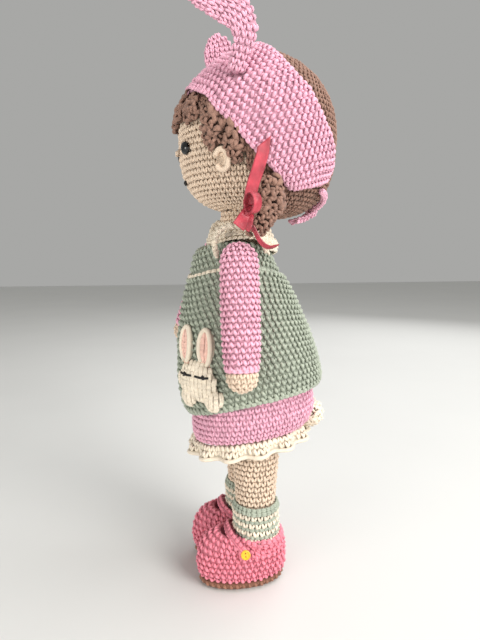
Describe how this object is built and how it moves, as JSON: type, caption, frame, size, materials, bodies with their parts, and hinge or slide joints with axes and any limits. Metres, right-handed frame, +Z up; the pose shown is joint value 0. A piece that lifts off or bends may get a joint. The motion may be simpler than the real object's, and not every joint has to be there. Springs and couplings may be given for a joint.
{
  "type": "amigurumi doll",
  "caption": "Crocheted standing doll in a bunny-ear bonnet, pinafore dress, socks and strap shoes, with swinging arms, ears and pigtails.",
  "frame": {"origin": "centre of the bounding box's bottom face, at table level under the doll", "axes": "+Z up, -Y the way the doll faces, +X the doll's left"},
  "size_m": [0.1264, 0.1058, 0.3774],
  "materials": {
    "skin": "cream cotton yarn, single crochet",
    "hair": "warm brown cotton yarn, crocheted",
    "rose": "rose cotton yarn, single crochet",
    "sage": "sage green cotton yarn, single crochet",
    "cream": "cream cotton yarn, crocheted",
    "coral": "coral pink cotton yarn, single crochet",
    "sole": "tan cotton yarn, single crochet",
    "satin": "coral satin ribbon",
    "button": "glossy yellow",
    "eye": "glossy black",
    "washer": "natural",
    "thread": "black embroidery thread"
  },
  "bodies": {
    "doll": {"head": "skin", "nose": "skin", "torso": "skin", "doll_ear_left": "skin", "doll_ear_right": "skin", "leg_left": "skin", "leg_right": "skin", "hair_cap": "hair", "fringe_lock_left_1": "hair", "fringe_lock_left_2": "hair", "fringe_lock_left_3": "hair", "fringe_lock_left_4": "hair", "fringe_lock_right_1": "hair", "fringe_lock_right_2": "hair", "fringe_lock_right_3": "hair", "fringe_lock_right_4": "hair", "bonnet": "rose", "skirt": "rose", "bonnet_tie_knot": "rose", "bonnet_tie_left": "rose", "bonnet_tie_right": "rose", "pinafore": "sage", "skirt_ruffle": "cream", "collar": "cream", "tail_pompom": "cream", "shoulder_yarn_left": "cream", "shoulder_yarn_right": "cream", "sock_left": "cream", "sock_right": "cream", "bunny_paw_left": "cream", "bunny_paw_right": "cream", "bunny_ear_left": "cream", "bunny_ear_right": "cream", "bunny_head": "cream", "shoe_left": "coral", "shoe_right": "coral", "shoe_strap_left": "coral", "shoe_strap_right": "coral", "sole_left": "sole", "sole_right": "sole", "shoe_button_left": "button", "shoe_button_right": "button", "eye_left": "eye", "eye_right": "eye", "eye_washer_left": "washer", "eye_washer_right": "washer", "mouth_stitch": "thread"},
    "arm_left_body": {"arm_left": "rose", "hand_left": "skin"},
    "arm_right_body": {"arm_right": "rose", "hand_right": "skin"},
    "bonnet_ear_left_body": {"bonnet_ear_left": "rose"},
    "bonnet_ear_right_body": {"bonnet_ear_right": "rose"},
    "pigtail_left_body": {"pigtail_left": "hair", "ribbon_bow_left": "satin"},
    "pigtail_right_body": {"pigtail_right": "hair", "ribbon_bow_right": "satin"}
  },
  "joints": [
    {"name": "shoulder_left", "type": "hinge", "parent": "doll", "child": "arm_left_body", "pos_m": [0.043, -0.01689, 0.21769], "axis": [-1, 0, 0], "range_deg": [-20, 90]},
    {"name": "shoulder_right", "type": "hinge", "parent": "doll", "child": "arm_right_body", "pos_m": [-0.043, -0.01689, 0.22412], "axis": [-1, 0, 0], "range_deg": [-42, 68]},
    {"name": "bonnet_ear_left_fold", "type": "hinge", "parent": "doll", "child": "bonnet_ear_left_body", "pos_m": [0.04512, -0.01854, 0.32214], "axis": [1, 0, 0], "range_deg": [-35, 15]},
    {"name": "bonnet_ear_right_fold", "type": "hinge", "parent": "doll", "child": "bonnet_ear_right_body", "pos_m": [-0.04512, -0.01854, 0.32214], "axis": [1, 0, 0], "range_deg": [-10, 40]},
    {"name": "pigtail_left_swing", "type": "hinge", "parent": "doll", "child": "pigtail_left_body", "pos_m": [0.0485, -0.00066, 0.264], "axis": [1, 0, 0], "range_deg": [-15, 15]},
    {"name": "pigtail_right_swing", "type": "hinge", "parent": "doll", "child": "pigtail_right_body", "pos_m": [-0.0485, -0.00066, 0.264], "axis": [1, 0, 0], "range_deg": [-15, 15]}
  ]
}
